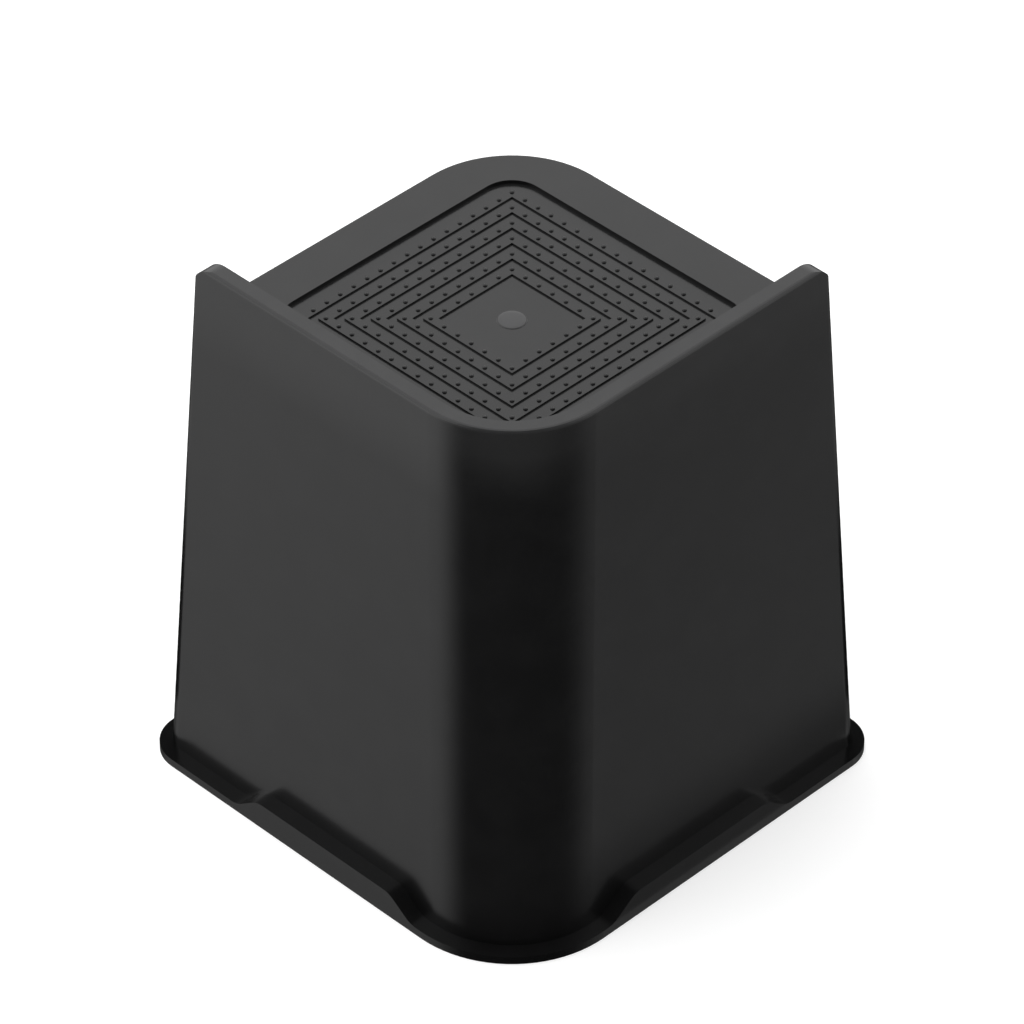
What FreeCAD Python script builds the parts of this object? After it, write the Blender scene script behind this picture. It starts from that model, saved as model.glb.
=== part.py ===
import FreeCAD, Part
import math
import os
import Sketcher

# A moulded bed riser: a hollow, tapered square block that stands on a narrow flange.
# Z is up and the origin is the centre of the footprint on the floor.
# The guard lip runs along the -X and -Y sides of the seat and round their common corner.

V = FreeCAD.Vector
doc = FreeCAD.newDocument("BedRiser")

# Driving dimensions in millimetres
sheet = doc.addObject("Spreadsheet::Sheet", "Sizes")
SIZES = [
    # body of the block
    ("riser_height", 152.4),
    ("foot_width", 124.2),
    ("rim_width", 107.0),
    ("corner_radius", 27.5),
    ("foot_edge_radius", 4.8),
    ("rim_edge_radius", 1.3),
    ("wall_thickness", 3.0),
    ("plate_thickness", 4.0),
    # guard lip round two sides of the seat
    ("lip_height", 15.8),
    ("lip_thickness", 4.5),
    ("lip_root_thickness", 5.5),
    ("lip_end_radius", 6.5),
    ("rim_rounding", 0.9),
    # flange round the foot, with a raised step in the middle of each side
    ("flange_width", 4.1),
    ("flange_thickness", 2.3),
    ("flange_corner_radius", 11.0),
    ("step_height", 7.8),
    ("step_top_length", 43.0),
    ("step_foot_length", 66.0),
    ("step_bend_radius", 6.0),
    ("skirt_thickness", 2.4),
    # sunk tread with raised square rings
    ("tread_width", 83.0),
    ("tread_corner_radius", 8.5),
    ("tread_depth", 1.0),
    ("ring_count", 6),
    ("inner_ring_width", 27.5),
    ("ring_pitch", 4.44),
    ("ring_band", 2.6),
    ("ring_height", 0.45),
    ("disc_diameter", 7.3),
    ("disc_height", 0.12),
    # ribs under the plate
    ("rib_thickness", 2.5),
    ("rib_depth", 7.0),
    ("rib_spacing", 36.0),
]
for row, (alias, value) in enumerate(SIZES, start=1):
    sheet.set("A%d" % row, alias)
    sheet.set("B%d" % row, str(value))
    sheet.setAlias("B%d" % row, alias)
doc.recompute()


def size(alias):
    return float(sheet.get(alias))


# Lengths that follow from the driving dimensions, as expressions
PLATE_TOP = "(Sizes.riser_height - Sizes.lip_height)"
CAVITY_TOP = "(%s - Sizes.tread_depth - Sizes.plate_thickness)" % PLATE_TOP
RIB_FOOT = "(%s - Sizes.rib_depth)" % CAVITY_TOP
FLANGE_HALF = "(Sizes.foot_width / 2 + Sizes.flange_width)"


def outer_half(height):
    """Half the outer width of the tapered walls at a height above the floor."""
    taper = "(Sizes.foot_width - Sizes.rim_width) / 2 / Sizes.riser_height"
    return "(Sizes.foot_width / 2 - (%s) * %s)" % (height, taper)


working = doc.addObject("Spreadsheet::Sheet", "Working")


def value_of(expression):
    """The number that an expression over the sheet gives now."""
    working.set("A1", "=" + expression)
    working.recompute()
    return float(working.get("A1"))


body = doc.addObject("PartDesign::Body", "riser_shell")
body.Label = "riser_shell"
planes = {item.Role: item for item in body.Origin.OriginFeatures}


def new_sketch(name, plane, offset="0"):
    """A sketch on one of the body's origin planes, moved along the plane's normal."""
    sketch = body.newObject("Sketcher::SketchObject", name)
    sketch.AttachmentSupport = [(planes[plane], "")]
    sketch.MapMode = "FlatFace"
    sketch.setExpression("AttachmentOffset.Base.z", offset)
    return sketch


def bind(sketch, constraint, expression):
    """Add a dimensional constraint and tie it to the sheet."""
    index = sketch.addConstraint(constraint)
    sketch.setExpression("Constraints[%d]" % index, expression)


def rounded_rectangle(sketch, left, bottom, right, top, radii):
    """An upright rectangle round the origin, as distances from it; radii start at the -X-Y corner
    and run anticlockwise, and None leaves a corner sharp."""
    west, south, east, north = (value_of(text) for text in (left, bottom, right, top))
    rounds = [value_of(text) if text else 0.0 for text in radii]
    corners = [V(-west, -south, 0), V(east, -south, 0), V(east, north, 0), V(-west, north, 0)]
    along = [V(1, 0, 0), V(0, 1, 0), V(-1, 0, 0), V(0, -1, 0)]
    lines = []
    for i in range(4):
        start = corners[i] + along[i] * rounds[i]
        end = corners[(i + 1) % 4] - along[i] * rounds[(i + 1) % 4]
        lines.append(sketch.addGeometry(Part.LineSegment(start, end)))
        sketch.addConstraint(Sketcher.Constraint("Vertical" if i % 2 else "Horizontal", lines[i]))
    for i in range(4):
        before = lines[i - 1]
        after = lines[i]
        if radii[i] is None:
            sketch.addConstraint(Sketcher.Constraint("Coincident", before, 2, after, 1))
            continue
        centre = corners[i] + (along[i] - along[i - 1]) * rounds[i]
        first = math.pi + i * math.pi / 2
        circle = Part.Circle(centre, V(0, 0, 1), rounds[i])
        arc = sketch.addGeometry(Part.ArcOfCircle(circle, first, first + math.pi / 2))
        sketch.addConstraint(Sketcher.Constraint("Tangent", before, 2, arc, 1))
        sketch.addConstraint(Sketcher.Constraint("Tangent", arc, 2, after, 1))
        bind(sketch, Sketcher.Constraint("Radius", arc, rounds[i]), radii[i])
    bind(sketch, Sketcher.Constraint("DistanceY", lines[0], 1, -1, 1, south), bottom)
    bind(sketch, Sketcher.Constraint("DistanceX", -1, 1, lines[1], 1, east), right)
    bind(sketch, Sketcher.Constraint("DistanceY", -1, 1, lines[2], 1, north), top)
    bind(sketch, Sketcher.Constraint("DistanceX", lines[3], 1, -1, 1, west), left)
    return sketch


def rounded_square(sketch, half, big, small):
    """A square with its lip corner and the corner opposite rounded large, the other two small."""
    return rounded_rectangle(sketch, half, half, half, half, [big, small, big, small])


def loft(kind, name, sections):
    feature = body.newObject("PartDesign::" + kind, name)
    feature.Profile = sections[0]
    feature.Sections = sections[1:]
    feature.Ruled = True
    return feature


def pad(name, sketch, length, reversed_way=False, midplane=False):
    feature = body.newObject("PartDesign::Pad", name)
    feature.Profile = sketch
    feature.setExpression("Length", length)
    feature.Reversed = reversed_way
    feature.Midplane = midplane
    return feature


def pocket(name, sketch, depth, reversed_way=False):
    feature = body.newObject("PartDesign::Pocket", name)
    feature.Profile = sketch
    feature.setExpression("Length", depth)
    feature.Reversed = reversed_way
    return feature


def four_sides(name, original):
    """Repeat a feature on all four sides, turned about the upright axis."""
    pattern = body.newObject("PartDesign::PolarPattern", name)
    pattern.Originals = [original]
    pattern.Axis = (planes["Z_Axis"], [""])
    pattern.Angle = 360
    pattern.Occurrences = 4
    body.Tip = pattern
    return pattern


# Outside of the block: tapered walls from the floor to the rim of the lip
foot_section = rounded_square(
    new_sketch("FootSection", "XY_Plane"), outer_half("0"), "Sizes.corner_radius", "Sizes.foot_edge_radius")
rim_sections = []
RIM_STEPS = 3
for step in range(RIM_STEPS + 1):
    # The rim's outer edge is a quarter round, followed in short steps
    angle = math.pi / 2 * step / RIM_STEPS
    inset = "(%.6f * Sizes.rim_rounding)" % (1 - math.cos(angle))
    height = "(Sizes.riser_height - %.6f * Sizes.rim_rounding)" % (1 - math.sin(angle))
    rim_sections.append(rounded_square(
        new_sketch("RimSection%d" % step, "XY_Plane", height),
        "(%s - %s)" % (outer_half("(Sizes.riser_height - Sizes.rim_rounding)"), inset),
        "(Sizes.corner_radius - %s)" % inset, "(Sizes.rim_edge_radius - %s)" % inset))
loft("AdditiveLoft", "Block", [foot_section] + rim_sections)


def seat_section(name, height, thickness):
    """The seat inside the lip, open past the +X and +Y sides."""
    inside = "(%s - %s)" % (outer_half(height), thickness)
    beyond = "(%s + Sizes.wall_thickness)" % outer_half("0")
    inner_radius = "(Sizes.corner_radius - Sizes.lip_root_thickness)"
    sketch = new_sketch(name, "XY_Plane", height)
    return rounded_rectangle(sketch, inside, inside, beyond, beyond, [inner_radius, None, None, None])


# Seat for the bed leg, cut down to the plate inside the lip
seat_floor = seat_section("SeatFloor", PLATE_TOP, "Sizes.lip_root_thickness")
seat_mouth = seat_section("SeatMouth", "Sizes.riser_height", "Sizes.lip_thickness")
loft("SubtractiveLoft", "Seat", [seat_floor, seat_mouth])

# Flange round the foot
flange_outline = rounded_square(
    new_sketch("FlangeOutline", "XY_Plane"), FLANGE_HALF,
    "(Sizes.corner_radius + Sizes.flange_width)", "Sizes.flange_corner_radius")
pad("Flange", flange_outline, "Sizes.flange_thickness")


# The two bends at a step's end share its slope, so the room there limits their radius
STEP_RUN = "((Sizes.step_foot_length - Sizes.step_top_length) / 2)"
STEP_RISE = "(Sizes.step_height - Sizes.flange_thickness)"
STEP_BEND = "min(Sizes.step_bend_radius; 0.9 * (%s^2 + %s^2) / (4 * %s))" % (STEP_RUN, STEP_RISE, STEP_RISE)


def step_outline():
    """Side view of one raised step: a flat top that falls to the flange along an S at each end."""
    sketch = new_sketch("StepOutline", "YZ_Plane", FLANGE_HALF)
    top_half = size("step_top_length") / 2
    foot_half = size("step_foot_length") / 2
    low = size("flange_thickness")
    high = size("step_height")
    radius = value_of(STEP_BEND)
    run = foot_half - top_half
    spare = 2 * radius - (high - low)
    slope = math.atan2(run, spare) - math.acos(2 * radius / math.hypot(run, spare))
    top = sketch.addGeometry(Part.LineSegment(V(-top_half, high, 0), V(top_half, high, 0)))
    bottom = sketch.addGeometry(Part.LineSegment(V(foot_half, 0, 0), V(-foot_half, 0, 0)))
    for side in (1, -1):
        upper_centre = V(side * top_half, high - radius, 0)
        lower_centre = V(side * foot_half, low + radius, 0)
        reach = V(side * radius * math.sin(slope), radius * math.cos(slope), 0)
        upper_turn = (math.pi / 2 - slope, math.pi / 2) if side > 0 else (math.pi / 2, math.pi / 2 + slope)
        lower_turn = tuple(turn + math.pi for turn in upper_turn)
        near, far = (1, 2) if side > 0 else (2, 1)
        upper = sketch.addGeometry(Part.ArcOfCircle(Part.Circle(upper_centre, V(0, 0, 1), radius), *upper_turn))
        lower = sketch.addGeometry(Part.ArcOfCircle(Part.Circle(lower_centre, V(0, 0, 1), radius), *lower_turn))
        ramp = sketch.addGeometry(Part.LineSegment(upper_centre + reach, lower_centre - reach))
        upright = sketch.addGeometry(Part.LineSegment(V(side * foot_half, low, 0), V(side * foot_half, 0, 0)))
        sketch.addConstraint(Sketcher.Constraint("Coincident", top, far, upper, far))
        sketch.addConstraint(Sketcher.Constraint("Vertical", upper, 3, upper, far))
        sketch.addConstraint(Sketcher.Constraint("Tangent", upper, near, ramp, 1))
        sketch.addConstraint(Sketcher.Constraint("Tangent", ramp, 2, lower, near))
        sketch.addConstraint(Sketcher.Constraint("Vertical", lower, 3, lower, far))
        sketch.addConstraint(Sketcher.Constraint("Coincident", upright, 1, lower, far))
        sketch.addConstraint(Sketcher.Constraint("Coincident", upright, 2, bottom, near))
        sketch.addConstraint(Sketcher.Constraint("Vertical", upright))
        bind(sketch, Sketcher.Constraint("Radius", upper, radius), STEP_BEND)
        bind(sketch, Sketcher.Constraint("Radius", lower, radius), STEP_BEND)
        bind(sketch, Sketcher.Constraint("DistanceY", -1, 1, upright, 1, low), "Sizes.flange_thickness")
    sketch.addConstraint(Sketcher.Constraint("PointOnObject", bottom, 1, -1))
    sketch.addConstraint(Sketcher.Constraint("Symmetric", top, 1, top, 2, -2))
    sketch.addConstraint(Sketcher.Constraint("Symmetric", bottom, 1, bottom, 2, -2))
    bind(sketch, Sketcher.Constraint("DistanceX", top, 1, top, 2, 2 * top_half), "Sizes.step_top_length")
    bind(sketch, Sketcher.Constraint("DistanceX", bottom, 2, bottom, 1, 2 * foot_half), "Sizes.step_foot_length")
    bind(sketch, Sketcher.Constraint("DistanceY", -1, 1, top, 1, high), "Sizes.step_height")
    return sketch


def upright_box(name, plane, offset, width, low, high):
    """A side view of a box that is centred on the part's axis, between two heights."""
    sketch = new_sketch(name, plane, offset)
    half = value_of(width) / 2
    base = value_of(low) if low else 0.0
    top = value_of(high)
    corners = [V(-half, base, 0), V(half, base, 0), V(half, top, 0), V(-half, top, 0)]
    lines = [sketch.addGeometry(Part.LineSegment(corners[i], corners[(i + 1) % 4])) for i in range(4)]
    for i in range(4):
        sketch.addConstraint(Sketcher.Constraint("Coincident", lines[i - 1], 2, lines[i], 1))
        if i > 0:
            sketch.addConstraint(Sketcher.Constraint("Vertical" if i % 2 else "Horizontal", lines[i]))
    sketch.addConstraint(Sketcher.Constraint("Symmetric", lines[0], 1, lines[0], 2, -2))
    bind(sketch, Sketcher.Constraint("DistanceX", lines[0], 1, lines[0], 2, 2 * half), width)
    if low:
        bind(sketch, Sketcher.Constraint("DistanceY", -1, 1, lines[0], 1, base), low)
    else:
        sketch.addConstraint(Sketcher.Constraint("PointOnObject", lines[0], 1, -1))
    bind(sketch, Sketcher.Constraint("DistanceY", -1, 1, lines[2], 1, top), high)
    return sketch


def lip_end(name, plane, offset, reversed_way):
    """Round the top corner at the free end of one lip, seen square on to the lip."""
    sketch = new_sketch(name, plane, offset)
    radius = size("lip_end_radius")
    end_text = outer_half("(Sizes.riser_height - Sizes.lip_end_radius)")
    end = value_of(end_text)
    top = size("riser_height")
    clear = size("wall_thickness")
    centre = V(end - radius, top - radius, 0)
    circle = Part.Circle(centre, V(0, 0, 1), radius)
    arc = sketch.addGeometry(Part.ArcOfCircle(circle, 0, math.pi / 2))
    points = [V(end - radius, top, 0), V(end - radius, top + clear, 0), V(end + clear, top + clear, 0),
              V(end + clear, top - radius, 0), V(end, top - radius, 0)]
    lines = [sketch.addGeometry(Part.LineSegment(points[i], points[i + 1])) for i in range(4)]
    for i, way in enumerate(["Vertical", "Horizontal", "Vertical", "Horizontal"]):
        sketch.addConstraint(Sketcher.Constraint(way, lines[i]))
    for i in range(3):
        sketch.addConstraint(Sketcher.Constraint("Coincident", lines[i], 2, lines[i + 1], 1))
    sketch.addConstraint(Sketcher.Constraint("Coincident", arc, 2, lines[0], 1))
    sketch.addConstraint(Sketcher.Constraint("Coincident", lines[3], 2, arc, 1))
    sketch.addConstraint(Sketcher.Constraint("Vertical", arc, 3, arc, 2))
    sketch.addConstraint(Sketcher.Constraint("Horizontal", arc, 3, arc, 1))
    bind(sketch, Sketcher.Constraint("Radius", arc, radius), "Sizes.lip_end_radius")
    bind(sketch, Sketcher.Constraint("DistanceX", -1, 1, arc, 1, end), end_text)
    bind(sketch, Sketcher.Constraint("DistanceY", -1, 1, arc, 2, top), "Sizes.riser_height")
    bind(sketch, Sketcher.Constraint("DistanceX", lines[3], 2, lines[3], 1, clear), "Sizes.wall_thickness")
    bind(sketch, Sketcher.Constraint("DistanceY", lines[0], 1, lines[0], 2, clear), "Sizes.wall_thickness")
    return pocket(name + "Round", sketch, outer_half("0"), reversed_way)


# Rounded ends of the two lips
BESIDE = "(%s + Sizes.wall_thickness)" % outer_half("0")
lip_end("FrontLipEnd", "XZ_Plane", BESIDE, False)
lip_end("SideLipEnd", "YZ_Plane", "-" + BESIDE, True)

# Raised step in the middle of each side of the flange
step_pad = pad("Step", step_outline(), "(Sizes.flange_width + Sizes.wall_thickness / 2)", True)
four_sides("Steps", step_pad)

# Sunk tread with its square rings and its centre disc
tread_half = "(Sizes.tread_width / 2)"
tread_outline = rounded_square(
    new_sketch("TreadOutline", "XY_Plane", PLATE_TOP), tread_half,
    "Sizes.tread_corner_radius", "Sizes.tread_corner_radius")
pocket("Tread", tread_outline, "Sizes.tread_depth")
TREAD_FLOOR = "(%s - Sizes.tread_depth)" % PLATE_TOP
ring_sketch = new_sketch("RingOutlines", "XY_Plane", TREAD_FLOOR)
for ring in range(int(round(size("ring_count")))):
    for edge in ("+", "-"):
        ring_half = "(Sizes.inner_ring_width / 2 + %d * Sizes.ring_pitch %s Sizes.ring_band / 2)" % (ring, edge)
        rounded_square(ring_sketch, ring_half, None, None)
pad("Rings", ring_sketch, "Sizes.ring_height")
disc_sketch = new_sketch("DiscOutline", "XY_Plane", TREAD_FLOOR)
disc = disc_sketch.addGeometry(Part.Circle(V(0, 0, 0), V(0, 0, 1), size("disc_diameter") / 2))
disc_sketch.addConstraint(Sketcher.Constraint("Coincident", disc, 3, -1, 1))
bind(disc_sketch, Sketcher.Constraint("Diameter", disc, size("disc_diameter")), "Sizes.disc_diameter")
pad("Disc", disc_sketch, "Sizes.disc_height")


def hollow_section(name, height):
    """The inside of the walls at one height."""
    inside = "(%s - Sizes.wall_thickness)" % outer_half(height)
    sketch = new_sketch(name, "XY_Plane", height)
    return rounded_square(sketch, inside, "(Sizes.corner_radius - Sizes.wall_thickness)", None)


# Hollow inside of the block, open to the floor
loft("SubtractiveLoft", "Hollow", [hollow_section("HollowMouth", "0"), hollow_section("HollowTop", CAVITY_TOP)])

# Each raised step is hollow too, so its outer face is a skirt
step_core = pocket(
    "StepCore",
    upright_box("StepCoreOutline", "YZ_Plane", "(%s - Sizes.skirt_thickness)" % FLANGE_HALF,
                "Sizes.step_top_length", None, "(Sizes.step_height - Sizes.skirt_thickness)"),
    "(Sizes.flange_width + Sizes.wall_thickness)")
four_sides("StepCores", step_core)

# Ribs under the plate, two each way, from wall to wall
rib_outline = upright_box(
    "RibOutline", "YZ_Plane", "(Sizes.rib_spacing / 2)",
    "(2 * %s - Sizes.wall_thickness)" % outer_half(CAVITY_TOP), RIB_FOOT, CAVITY_TOP)
four_sides("Ribs", pad("Rib", rib_outline, "Sizes.rib_thickness", midplane=True))
doc.recompute()

# Checks: nothing failed, and the shell is one valid solid of the stated height
for item in doc.Objects:
    if "Invalid" in item.State or "Error" in item.State:
        raise RuntimeError("%s failed: %s" % (item.Name, item.State))
shape = body.Shape
if shape.isNull() or not shape.isValid() or len(shape.Solids) != 1:
    raise RuntimeError("riser_shell is not one valid solid")
if abs(shape.BoundBox.ZLength - size("riser_height")) > 0.01:
    raise RuntimeError("riser_shell has the wrong height")

os.makedirs("parts", exist_ok=True)
shape.exportStep(os.path.join("parts", body.Label + ".step"))
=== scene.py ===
import math
import bpy
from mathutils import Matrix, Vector


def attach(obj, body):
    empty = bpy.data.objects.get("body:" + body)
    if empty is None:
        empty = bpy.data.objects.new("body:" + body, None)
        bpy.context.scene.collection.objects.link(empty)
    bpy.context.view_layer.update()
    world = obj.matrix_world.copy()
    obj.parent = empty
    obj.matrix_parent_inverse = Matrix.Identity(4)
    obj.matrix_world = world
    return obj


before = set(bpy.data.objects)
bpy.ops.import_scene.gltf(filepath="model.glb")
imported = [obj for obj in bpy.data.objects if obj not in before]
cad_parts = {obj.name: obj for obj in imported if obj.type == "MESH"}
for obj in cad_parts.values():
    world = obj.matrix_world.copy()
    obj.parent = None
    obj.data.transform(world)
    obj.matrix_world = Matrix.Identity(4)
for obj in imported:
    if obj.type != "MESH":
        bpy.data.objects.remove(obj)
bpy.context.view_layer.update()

# The seat's tread, in metres
PLATE_TOP = 0.1366
TREAD_DEPTH = 0.0010
TREAD_FLOOR = PLATE_TOP - TREAD_DEPTH
RING_HEIGHT = 0.00045
INNER_RING_WIDTH = 0.0275
RING_PITCH = 0.00444
RINGS = 6
INNER_RING_GAPS = 6
PIP_DIAMETER = 0.00122
PIP_HEIGHT = 0.00050
DISC_DIAMETER = 0.0073
DISC_HEIGHT = 0.00012
DISC_STEPS = 64

# Tints of the black, as shares of it: clean, and where dust and rubbing lie
CLEAN_TINT = (0.92, 0.92, 0.95)
DUSTY_TINT = (1.18, 1.18, 1.21)

# The value that the noises vary round, and how far the patches change the roughness
NOISE_MIDDLE = 0.5
PATCH_ROUGHNESS = 0.05

# Shading of the walls near the rim: where the lean starts, over what height, and its slope
LEAN_START = 0.129
LEAN_EASE = 0.016
LEAN_SLOPE = 0.066

# Painted shade at the foot: the flange's black as a share of the walls', and the heights between which
# it gives way
FOOT_SHADE_BELOW = 0.004
FOOT_SHADE_CLEAR_ABOVE = 0.016
FOOT_SHADE_SHARE = 0.65

# Painted highlight on top of the lip: its lighter tone as a share of the walls', and the heights between
# which it comes in
RIM_HIGHLIGHT_ABOVE = 0.1514
RIM_HIGHLIGHT_FULLY = 0.1523
RIM_HIGHLIGHT_SHARE = 2.2

# Camera: over the front corner, aimed at the riser's middle; the lamp aims a little lower
EYE = Vector((-0.8603, -0.8603, 1.0687))
AIM = Vector((0, 0, 0.0762))
LAMP_AIM = Vector((0, 0, 0.07))
LENS = 225.0

# Floor: half its width, its grey, and the light of its own that the camera sees
FLOOR_REACH = 4.0
FLOOR_GREY = 0.62
FLOOR_LIFT = 0.55

# Low cards beside the flange, painted dark reflections for the ledge: how far out they stand, where they
# run, and the heights of their fade
CARD_AWAY = 0.080
CARD_START = -0.074
CARD_END = -0.030
CARD_TOP = 0.085
CARD_FULL = 0.040

# The card on the floor, a painted shadow that only the walls reflect: its reach in X and Y, the stretch
# of Y that it fades over, and its darkness
FLOOR_CARD_X = (-0.07, 0.08)
FLOOR_CARD_Y = (-0.092, -0.068)
FLOOR_CARD_FADE = (-0.089, -0.071)
FLOOR_CARD_LIFT = 0.0004
FLOOR_CARD_SHARE = 0.5


def link(tree, from_node, from_socket, to_node, to_socket):
    """Joins two nodes by the names of their sockets."""
    tree.links.new(from_node.outputs[from_socket], to_node.inputs[to_socket])


def math_node(tree, operation, first, second=None, clamp=False):
    """A Math node whose inputs are numbers or output sockets; gives its output socket."""
    node = tree.nodes.new("ShaderNodeMath")
    node.operation = operation
    node.use_clamp = clamp
    for place, value in enumerate((first, second)):
        if value is None:
            continue
        if isinstance(value, (int, float)):
            node.inputs[place].default_value = value
        else:
            tree.links.new(value, node.inputs[place])
    return node.outputs[0]


def noise_node(tree, vector, scale, detail, roughness):
    """A noise over a vector; gives its value."""
    node = tree.nodes.new("ShaderNodeTexNoise")
    node.inputs["Scale"].default_value = scale
    node.inputs["Detail"].default_value = detail
    node.inputs["Roughness"].default_value = roughness
    tree.links.new(vector, node.inputs["Vector"])
    return node.outputs["Fac"]


def ramp(tree, factor, low, high, low_value, high_value):
    """Maps a factor from one range to another, held at the ends."""
    node = tree.nodes.new("ShaderNodeMapRange")
    node.interpolation_type = "SMOOTHSTEP"
    node.inputs["From Min"].default_value = low
    node.inputs["From Max"].default_value = high
    node.inputs["To Min"].default_value = low_value
    node.inputs["To Max"].default_value = high_value
    tree.links.new(factor, node.inputs["Value"])
    return node.outputs["Result"]


def moulded_grain_group():
    """Fine grain of a moulded surface, its soft waviness, and rubbed or dusty patches."""
    group = bpy.data.node_groups.new("moulded_grain", "ShaderNodeTree")
    face = group.interface
    face.new_socket(name="Position", in_out="INPUT", socket_type="NodeSocketVector")
    for name, default in (("Grain Scale", 2600.0), ("Wave Scale", 38.0)):
        socket = face.new_socket(name=name, in_out="INPUT", socket_type="NodeSocketFloat")
        socket.default_value = default
    for name in ("Grain", "Waves", "Patches"):
        face.new_socket(name=name, in_out="OUTPUT", socket_type="NodeSocketFloat")
    entry = group.nodes.new("NodeGroupInput")
    leave = group.nodes.new("NodeGroupOutput")
    fine = group.nodes.new("ShaderNodeTexNoise")
    fine.inputs["Detail"].default_value = 2.0
    fine.inputs["Roughness"].default_value = 0.6
    link(group, entry, "Position", fine, "Vector")
    link(group, entry, "Grain Scale", fine, "Scale")
    waves = group.nodes.new("ShaderNodeTexNoise")
    waves.inputs["Detail"].default_value = 1.0
    link(group, entry, "Position", waves, "Vector")
    link(group, entry, "Wave Scale", waves, "Scale")
    patches = noise_node(group, entry.outputs["Position"], scale=85.0, detail=4.0, roughness=0.62)
    link(group, fine, "Fac", leave, "Grain")
    link(group, waves, "Fac", leave, "Waves")
    group.links.new(patches, leave.inputs["Patches"])
    return group


def rim_lean(tree, place):
    """A height that falls away towards the rim, so the top of the walls shades as if it leaned in."""
    split = tree.nodes.new("ShaderNodeSeparateXYZ")
    tree.links.new(place, split.inputs[0])
    above = math_node(tree, "SUBTRACT", split.outputs["Z"], LEAN_START)
    eased = math_node(tree, "MINIMUM", math_node(tree, "MAXIMUM", above, 0.0), LEAN_EASE)
    eased = math_node(tree, "MULTIPLY", eased, eased)
    eased = math_node(tree, "MULTIPLY", eased, -LEAN_SLOPE / (2 * LEAN_EASE))
    steady = math_node(tree, "MAXIMUM", math_node(tree, "SUBTRACT", above, LEAN_EASE), 0.0)
    return math_node(tree, "ADD", eased, math_node(tree, "MULTIPLY", steady, -LEAN_SLOPE))


def relief_node(tree, distance, height, under=None):
    """A Bump node at full strength over a height, and over another relief where there is one."""
    node = tree.nodes.new("ShaderNodeBump")
    node.inputs["Distance"].default_value = distance
    node.inputs["Strength"].default_value = 1.0
    tree.links.new(height, node.inputs["Height"])
    if under is not None:
        tree.links.new(under, node.inputs["Normal"])
    return node.outputs["Normal"]


def moulded_black(name, grain_group, base, roughness, grain_depth, wave_depth,
                  speckling=0.16, leaning=False):
    """Glossy black moulded plastic: near-black body, tight grain, faint dust and rubbed patches, with
    painted shade at the foot and a painted highlight on top of the lip.
    """
    material = bpy.data.materials.new(name)
    material.use_nodes = True
    tree = material.node_tree
    shader = tree.nodes["Principled BSDF"]
    shader.inputs["IOR"].default_value = 1.5
    place = tree.nodes.new("ShaderNodeTexCoord")
    grain = tree.nodes.new("ShaderNodeGroup")
    grain.node_tree = grain_group
    link(tree, place, "Object", grain, "Position")
    # Colour: almost even black, a little greyer where dust and rubbing lie
    tone = tree.nodes.new("ShaderNodeMix")
    tone.data_type = "RGBA"
    tone.inputs["A"].default_value = (*(base * share for share in CLEAN_TINT), 1)
    tone.inputs["B"].default_value = (*(base * share for share in DUSTY_TINT), 1)
    tree.links.new(ramp(tree, grain.outputs["Patches"], 0.35, 0.72, 0.0, 1.0), tone.inputs["Factor"])
    # Painted shade darkens the flange and the foot of the walls; a painted highlight makes the top of
    # the lip greyer
    spot = tree.nodes.new("ShaderNodeSeparateXYZ")
    tree.links.new(place.outputs["Object"], spot.inputs[0])
    painted_light_scale = tree.nodes.new("ShaderNodeVectorMath")
    painted_light_scale.operation = "SCALE"
    tree.links.new(tone.outputs["Result"], painted_light_scale.inputs[0])
    foot_shade = ramp(tree, spot.outputs["Z"], FOOT_SHADE_BELOW, FOOT_SHADE_CLEAR_ABOVE, FOOT_SHADE_SHARE, 1.0)
    rim_highlight = ramp(tree, spot.outputs["Z"], RIM_HIGHLIGHT_ABOVE, RIM_HIGHLIGHT_FULLY, 1.0, RIM_HIGHLIGHT_SHARE)
    share = math_node(tree, "MULTIPLY", foot_shade, rim_highlight)
    tree.links.new(share, painted_light_scale.inputs["Scale"])
    tree.links.new(painted_light_scale.outputs["Vector"], shader.inputs["Base Color"])
    # Roughness: tight sheen that opens up over the grain and the rubbed patches
    speckle = math_node(tree, "SUBTRACT", grain.outputs["Grain"], NOISE_MIDDLE)
    speckle = math_node(tree, "MULTIPLY", speckle, speckling)
    patch = math_node(tree, "SUBTRACT", grain.outputs["Patches"], NOISE_MIDDLE)
    patch = math_node(tree, "MULTIPLY", patch, PATCH_ROUGHNESS)
    rough = math_node(tree, "ADD", math_node(tree, "ADD", speckle, patch), roughness, clamp=True)
    tree.links.new(rough, shader.inputs["Roughness"])
    # Relief: the lean near the rim, the slow waviness of a cooled moulding, then the grain
    lean = relief_node(tree, 1.0, rim_lean(tree, place.outputs["Object"])) if leaning else None
    waves = relief_node(tree, wave_depth, grain.outputs["Waves"], lean)
    relief = relief_node(tree, grain_depth, grain.outputs["Grain"], waves)
    tree.links.new(relief, shader.inputs["Normal"])
    return material


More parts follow.
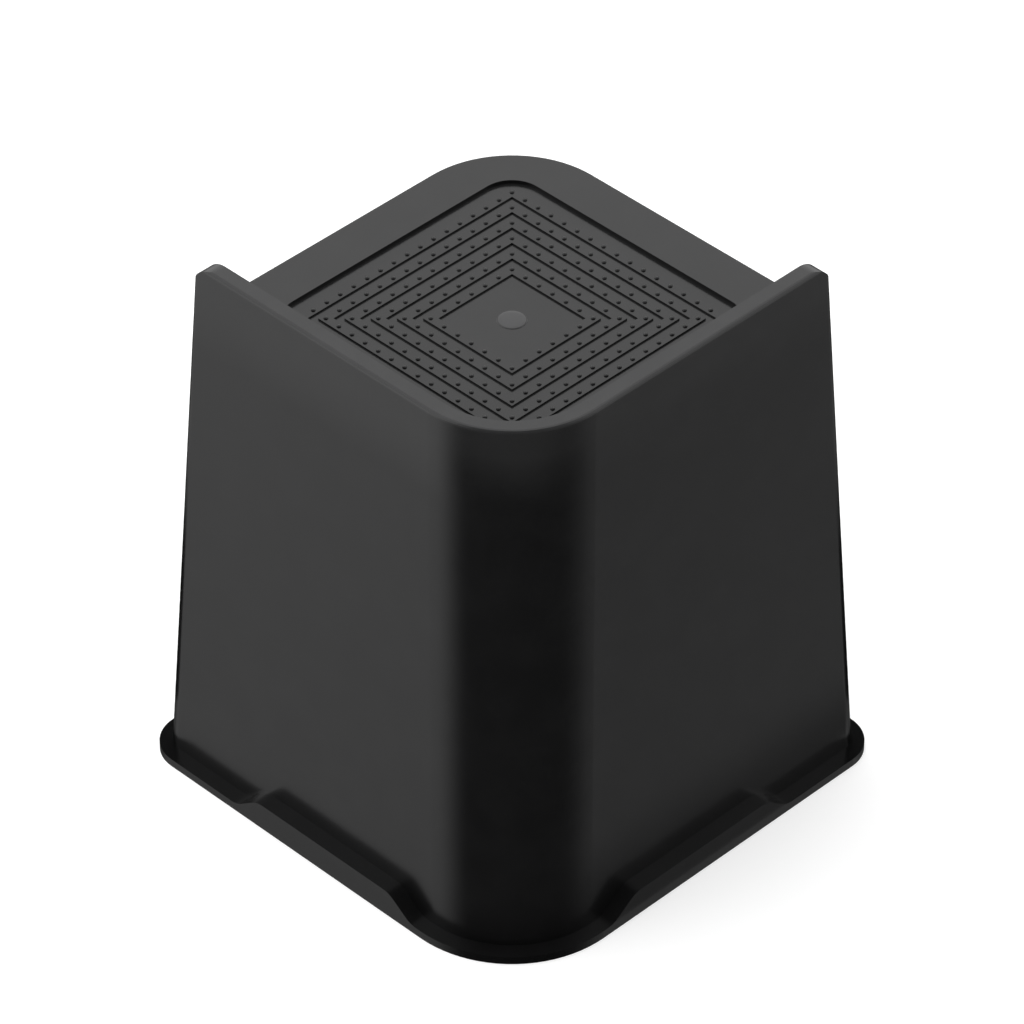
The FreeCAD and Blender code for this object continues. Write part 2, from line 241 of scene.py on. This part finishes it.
def pip_tree(material):
    """Rows of small domed pips along the middle of each square ring of the tread."""
    tree = bpy.data.node_groups.new("ring_pips", "GeometryNodeTree")
    face = tree.interface
    face.new_socket(name="Geometry", in_out="INPUT", socket_type="NodeSocketGeometry")
    sizes = {"Inner Width": INNER_RING_WIDTH, "Pitch": RING_PITCH, "Level": PLATE_TOP,
             "Pip Radius": PIP_DIAMETER / 2, "Pip Height": PIP_HEIGHT}
    for name, default in sizes.items():
        socket = face.new_socket(name=name, in_out="INPUT", socket_type="NodeSocketFloat")
        socket.default_value = default
    face.new_socket(name="Geometry", in_out="OUTPUT", socket_type="NodeSocketGeometry")
    entry = tree.nodes.new("NodeGroupInput")
    leave = tree.nodes.new("NodeGroupOutput")
    ball = tree.nodes.new("GeometryNodeMeshUVSphere")
    ball.inputs["Segments"].default_value = 10
    ball.inputs["Rings"].default_value = 6
    ball.inputs["Radius"].default_value = 1.0
    size = tree.nodes.new("ShaderNodeCombineXYZ")
    link(tree, entry, "Pip Radius", size, "X")
    link(tree, entry, "Pip Radius", size, "Y")
    link(tree, entry, "Pip Height", size, "Z")
    dome = tree.nodes.new("GeometryNodeTransform")
    link(tree, ball, "Mesh", dome, "Geometry")
    link(tree, size, "Vector", dome, "Scale")
    join = tree.nodes.new("GeometryNodeJoinGeometry")
    for ring in range(RINGS):
        width = math_node(tree, "MULTIPLY_ADD", entry.outputs["Pitch"], 2.0 * ring)
        tree.links.new(entry.outputs["Inner Width"], width.node.inputs[2])
        square = tree.nodes.new("GeometryNodeCurvePrimitiveQuadrilateral")
        tree.links.new(width, square.inputs["Width"])
        tree.links.new(width, square.inputs["Height"])
        spaced = tree.nodes.new("GeometryNodeResampleCurve")
        spaced.inputs["Count"].default_value = 4 * (INNER_RING_GAPS + 2 * ring)
        link(tree, square, "Curve", spaced, "Curve")
        row = tree.nodes.new("GeometryNodeInstanceOnPoints")
        link(tree, spaced, "Curve", row, "Points")
        link(tree, dome, "Geometry", row, "Instance")
        link(tree, row, "Instances", join, "Geometry")
    lift = tree.nodes.new("ShaderNodeCombineXYZ")
    link(tree, entry, "Level", lift, "Z")
    moved = tree.nodes.new("GeometryNodeTransform")
    link(tree, join, "Geometry", moved, "Geometry")
    link(tree, lift, "Vector", moved, "Translation")
    real = tree.nodes.new("GeometryNodeRealizeInstances")
    link(tree, moved, "Geometry", real, "Geometry")
    finish = tree.nodes.new("GeometryNodeSetMaterial")
    finish.inputs["Material"].default_value = material
    link(tree, real, "Geometry", finish, "Geometry")
    link(tree, finish, "Geometry", leave, "Geometry")
    return tree


def tread_pips(material):
    """The pips of all the rings, as one plain mesh that stands on the rings' tops."""
    carrier = bpy.data.objects.new("tread_pips_source", bpy.data.meshes.new("tread_pips_source"))
    bpy.context.collection.objects.link(carrier)
    modifier = carrier.modifiers.new("pips", "NODES")
    modifier.node_group = pip_tree(material)
    for item in modifier.node_group.interface.items_tree:
        if item.in_out == "INPUT" and item.name == "Level":
            modifier[item.identifier] = TREAD_FLOOR + RING_HEIGHT
    seen = carrier.evaluated_get(bpy.context.evaluated_depsgraph_get())
    mesh = bpy.data.meshes.new_from_object(seen)
    carrier.modifiers.clear()
    bpy.data.objects.remove(carrier)
    mesh.name = "tread_pips"
    for polygon in mesh.polygons:
        polygon.use_smooth = True
    pips = bpy.data.objects.new("tread_pips", mesh)
    bpy.context.collection.objects.link(pips)
    return pips


def centre_disc(material):
    """The smooth disc in the middle of the tread, as a thin closed cap with a shallow skirt."""
    reach = DISC_DIAMETER / 2
    # The cap's outline from the foot of its skirt inwards: radius, and height over the tread's floor
    profile = [(reach + 0.00015, -0.00005),
               (reach + 0.00015, 0.00002),
               (reach - 0.0001, DISC_HEIGHT * 0.7),
               (reach - 0.0004, DISC_HEIGHT + 0.00004),
               (reach * 0.7, DISC_HEIGHT + 0.00007),
               (reach * 0.35, DISC_HEIGHT + 0.00009)]
    points = []
    for radius, lift in profile:
        for step in range(DISC_STEPS):
            angle = 2 * math.pi * step / DISC_STEPS
            points.append((radius * math.cos(angle), radius * math.sin(angle), TREAD_FLOOR + lift))
    faces = [tuple(reversed(range(DISC_STEPS)))]
    for ring in range(len(profile) - 1):
        for step in range(DISC_STEPS):
            here = ring * DISC_STEPS + step
            beside = ring * DISC_STEPS + (step + 1) % DISC_STEPS
            faces.append((here, beside, beside + DISC_STEPS, here + DISC_STEPS))
    faces.append(tuple(range((len(profile) - 1) * DISC_STEPS, len(profile) * DISC_STEPS)))
    mesh = bpy.data.meshes.new("centre_disc")
    mesh.from_pydata(points, [], faces)
    mesh.materials.append(material)
    for polygon in mesh.polygons:
        polygon.use_smooth = len(polygon.vertices) == 4
    disc = bpy.data.objects.new("centre_disc", mesh)
    bpy.context.collection.objects.link(disc)
    return disc


def pale_floor():
    """A plain pale floor; the light of its own only lifts what the camera sees of it."""
    mesh = bpy.data.meshes.new("floor")
    corners = [(-FLOOR_REACH, -FLOOR_REACH, 0), (FLOOR_REACH, -FLOOR_REACH, 0),
               (FLOOR_REACH, FLOOR_REACH, 0), (-FLOOR_REACH, FLOOR_REACH, 0)]
    mesh.from_pydata(corners, [], [(0, 1, 2, 3)])
    floor = bpy.data.objects.new("floor", mesh)
    bpy.context.collection.objects.link(floor)
    floor.visible_glossy = False
    paint = bpy.data.materials.new("pale_floor")
    paint.use_nodes = True
    tree = paint.node_tree
    tree.nodes.clear()
    out = tree.nodes.new("ShaderNodeOutputMaterial")
    matt = tree.nodes.new("ShaderNodeBsdfDiffuse")
    matt.inputs["Color"].default_value = (FLOOR_GREY, FLOOR_GREY, FLOOR_GREY, 1)
    lit = tree.nodes.new("ShaderNodeEmission")
    lit.inputs["Color"].default_value = (1, 1, 1, 1)
    path = tree.nodes.new("ShaderNodeLightPath")
    lift = math_node(tree, "MULTIPLY", path.outputs["Is Camera Ray"], FLOOR_LIFT)
    tree.links.new(lift, lit.inputs["Strength"])
    both = tree.nodes.new("ShaderNodeAddShader")
    tree.links.new(matt.outputs[0], both.inputs[0])
    tree.links.new(lit.outputs[0], both.inputs[1])
    tree.links.new(both.outputs[0], out.inputs["Surface"])
    mesh.materials.append(paint)


def outlook(tree):
    """How far a direction turns from the viewer's side, to the left as seen from there, and its rise."""
    where = tree.nodes.new("ShaderNodeTexCoord")
    split = tree.nodes.new("ShaderNodeSeparateXYZ")
    tree.links.new(where.outputs["Generated"], split.inputs[0])
    half = math.sqrt(0.5)
    left = math_node(tree, "SUBTRACT", split.outputs["Y"], split.outputs["X"])
    left = math_node(tree, "MULTIPLY", left, half)
    front = math_node(tree, "ADD", split.outputs["X"], split.outputs["Y"])
    front = math_node(tree, "MULTIPLY", front, -half)
    return math_node(tree, "ARCTAN2", left, front), split.outputs["Z"]


def between(tree, angle, low, high, low_value, high_value):
    """A ramp over an angle in radians, whose range is given in degrees."""
    return ramp(tree, angle, math.radians(low), math.radians(high), low_value, high_value)


def studio_tone(tree):
    """Tone of the studio in each direction: bright behind and to the left, dark towards the viewer."""
    turn, rise = outlook(tree)
    turned = math_node(tree, "MULTIPLY", turn, -1.0)
    # Each ramp over the rise holds two rises, as sines, and the tones at them
    left_tone = math_node(tree, "ADD", ramp(tree, rise, -0.66, -0.46, 0.362, 0.92),
                          ramp(tree, rise, 0.25, 0.65, 0.0, 0.20))
    right_tone = math_node(tree, "ADD", ramp(tree, rise, -0.58, -0.38, 0.334, 0.57),
                           ramp(tree, rise, 0.30, 0.70, 0.0, 0.53))
    front_tone = math_node(tree, "MULTIPLY", ramp(tree, rise, -0.42, -0.34, 0.027, 0.62),
                           ramp(tree, rise, -0.20, 0.0, 1.0, 0.45))
    back_tone = ramp(tree, rise, -0.30, 0.20, 0.10, 1.18)
    on_left = between(tree, turn, 43, 77, 0.0, 1.0)
    on_right = between(tree, turned, 46, 108, 0.0, 1.0)
    around = math_node(tree, "ADD", math_node(tree, "MULTIPLY", on_left, left_tone),
                       math_node(tree, "MULTIPLY", on_right, right_tone))
    around = math_node(tree, "ADD", around, front_tone)
    behind = between(tree, math_node(tree, "ABSOLUTE", turn), 98, 135, 0.0, 1.0)
    mixed = tree.nodes.new("ShaderNodeMix")
    mixed.data_type = "FLOAT"
    tree.links.new(behind, mixed.inputs["Factor"])
    tree.links.new(around, mixed.inputs["A"])
    tree.links.new(back_tone, mixed.inputs["B"])
    return mixed.outputs["Result"]


def studio_card(name, corners, axis, clear_at, full_at, amount):
    """A black card that only shows in the gloss, as a painted dark reflection; it thins out along one
    axis, to nothing at clear_at.
    """
    mesh = bpy.data.meshes.new(name)
    mesh.from_pydata(corners, [], [(0, 1, 2, 3)])
    card = bpy.data.objects.new(name, mesh)
    bpy.context.collection.objects.link(card)
    card.visible_camera = False
    card.visible_diffuse = False
    card.visible_shadow = False
    paint = bpy.data.materials.new(name)
    paint.use_nodes = True
    tree = paint.node_tree
    tree.nodes.clear()
    out = tree.nodes.new("ShaderNodeOutputMaterial")
    black = tree.nodes.new("ShaderNodeBsdfDiffuse")
    black.inputs["Color"].default_value = (0.01, 0.01, 0.01, 1)
    clear = tree.nodes.new("ShaderNodeBsdfTransparent")
    mix = tree.nodes.new("ShaderNodeMixShader")
    where = tree.nodes.new("ShaderNodeTexCoord")
    split = tree.nodes.new("ShaderNodeSeparateXYZ")
    tree.links.new(where.outputs["Object"], split.inputs[0])
    if clear_at < full_at:
        thick = ramp(tree, split.outputs[axis], clear_at, full_at, 0.0, amount)
    else:
        thick = ramp(tree, split.outputs[axis], full_at, clear_at, amount, 0.0)
    tree.links.new(thick, mix.inputs["Fac"])
    tree.links.new(clear.outputs[0], mix.inputs[1])
    tree.links.new(black.outputs[0], mix.inputs[2])
    tree.links.new(mix.outputs[0], out.inputs["Surface"])
    mesh.materials.append(paint)


def softbox(name, place, power, width):
    """A large soft lamp that faces the riser."""
    lamp = bpy.data.lights.new(name, "AREA")
    lamp.shape = "SQUARE"
    lamp.size = width
    lamp.energy = power
    box = bpy.data.objects.new(name, lamp)
    bpy.context.collection.objects.link(box)
    box.location = place
    box.rotation_euler = (LAMP_AIM - Vector(place)).to_track_quat("-Z", "Y").to_euler()
    box.visible_glossy = False


def studio_world():
    """The studio all round, for light and gloss, and plain white for the camera."""
    world = bpy.data.worlds.new("studio")
    bpy.context.scene.world = world
    world.use_nodes = True
    tree = world.node_tree
    tree.nodes.clear()
    out = tree.nodes.new("ShaderNodeOutputWorld")
    sky = tree.nodes.new("ShaderNodeBackground")
    path = tree.nodes.new("ShaderNodeLightPath")
    seen = tree.nodes.new("ShaderNodeMix")
    seen.data_type = "FLOAT"
    tree.links.new(path.outputs["Is Camera Ray"], seen.inputs["Factor"])
    tree.links.new(studio_tone(tree), seen.inputs["A"])
    seen.inputs["B"].default_value = 1.0
    tree.links.new(seen.outputs["Result"], sky.inputs["Strength"])
    sky.inputs["Color"].default_value = (1, 1, 1, 1)
    tree.links.new(sky.outputs[0], out.inputs["Surface"])


def flange_cards():
    """Two low cards behind the outer corners of the flange that paint dark reflections in the ledge, and
    one on the floor at the right that paints a shadow into the walls' reflection.
    """
    left = [(CARD_START, CARD_AWAY, 0), (CARD_END, CARD_AWAY, 0),
            (CARD_END, CARD_AWAY, CARD_TOP), (CARD_START, CARD_AWAY, CARD_TOP)]
    right = [(y, x, z) for x, y, z in left]
    studio_card("left_card", left, "Z", CARD_TOP, CARD_FULL, 1.0)
    studio_card("right_card", right, "Z", CARD_TOP, CARD_FULL, 1.0)
    x_from, x_to = FLOOR_CARD_X
    y_from, y_to = FLOOR_CARD_Y
    clear_at, full_at = FLOOR_CARD_FADE
    on_floor = [(x_from, y_from, FLOOR_CARD_LIFT), (x_to, y_from, FLOOR_CARD_LIFT),
                (x_to, y_to, FLOOR_CARD_LIFT), (x_from, y_to, FLOOR_CARD_LIFT)]
    studio_card("floor_card", on_floor, "Y", clear_at, full_at, FLOOR_CARD_SHARE)


def viewer_camera():
    """The camera over the front corner, aimed at the riser's middle."""
    camera_data = bpy.data.cameras.new("camera")
    camera_data.sensor_width = 36.0
    camera_data.lens = LENS
    camera_data.clip_start = 0.05
    camera_data.clip_end = 30.0
    camera = bpy.data.objects.new("camera", camera_data)
    bpy.context.collection.objects.link(camera)
    camera.location = EYE
    camera.rotation_euler = (AIM - EYE).to_track_quat("-Z", "Y").to_euler()
    bpy.context.scene.camera = camera


grain_group = moulded_grain_group()
wall_black = moulded_black("moulded_black", grain_group, base=0.0078, roughness=0.21,
                           grain_depth=0.000010, wave_depth=0.000006, leaning=True)
# The disc's black is lighter than the walls' as a painted sheen for its brighter look
disc_black_painted_sheen = moulded_black("disc_black_painted_sheen", grain_group, base=0.0365, roughness=0.26,
                           grain_depth=0.0000005, wave_depth=0.0, speckling=0.05)
pip_black = moulded_black("pip_black", grain_group, base=0.012, roughness=0.33,
                          grain_depth=0.000005, wave_depth=0.0)

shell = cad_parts["riser_shell"]
shell.data.materials.clear()
shell.data.materials.append(wall_black)

pips = tread_pips(pip_black)
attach(pips, "root")
disc = centre_disc(disc_black_painted_sheen)
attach(disc, "root")

pale_floor()
studio_world()
flange_cards()
softbox("top_lamp", place=(-0.25, 0.35, 1.7), power=14.0, width=1.2)
viewer_camera()
bpy.context.scene.view_settings.view_transform = "Standard"
